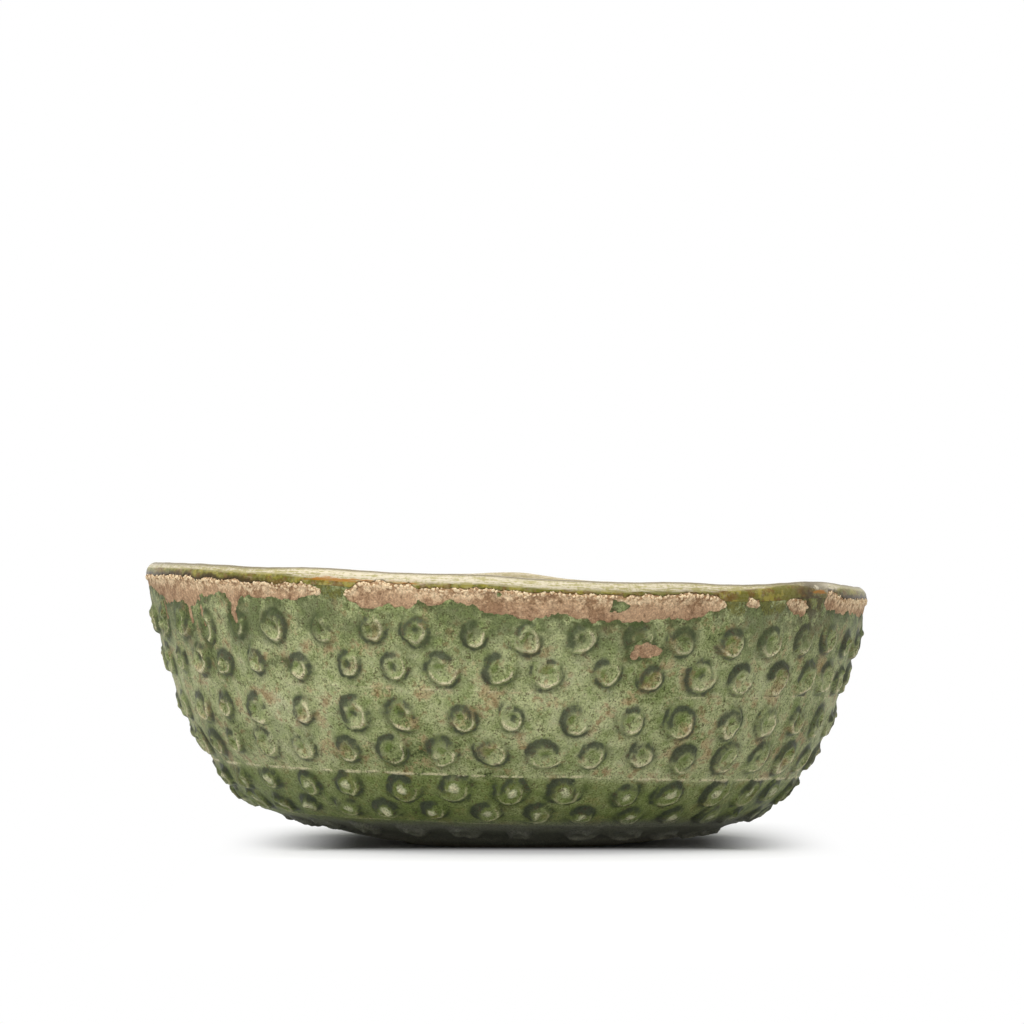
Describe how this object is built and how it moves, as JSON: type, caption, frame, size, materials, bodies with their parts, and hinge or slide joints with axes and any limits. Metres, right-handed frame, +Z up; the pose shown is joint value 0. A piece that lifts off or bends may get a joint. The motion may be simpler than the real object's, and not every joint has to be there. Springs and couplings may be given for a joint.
{
  "type": "glazed bowl",
  "caption": "Wide low earthenware bowl with rows of raised curls under a green glaze, a straw-coloured glazed lip and a ragged band of bare clay below it.",
  "frame": {"origin": "on the surface that the bowl stands on, under the centre of its bounding box", "axes": "+Z up out of the bowl's mouth; the bowl leans a little, with its +X side lower; -Y faces the viewer of the picture"},
  "size_m": [0.1252, 0.1248, 0.0495],
  "materials": {
    "fired_clay": "matte",
    "green_glaze": "satin",
    "straw_glaze": "gloss",
    "lining_glaze": "gloss"
  },
  "bodies": {
    "root": {"clay_body": "fired_clay", "green_glaze_coat": "green_glaze", "lip_glaze": "straw_glaze", "inner_glaze": "lining_glaze"}
  },
  "joints": []
}
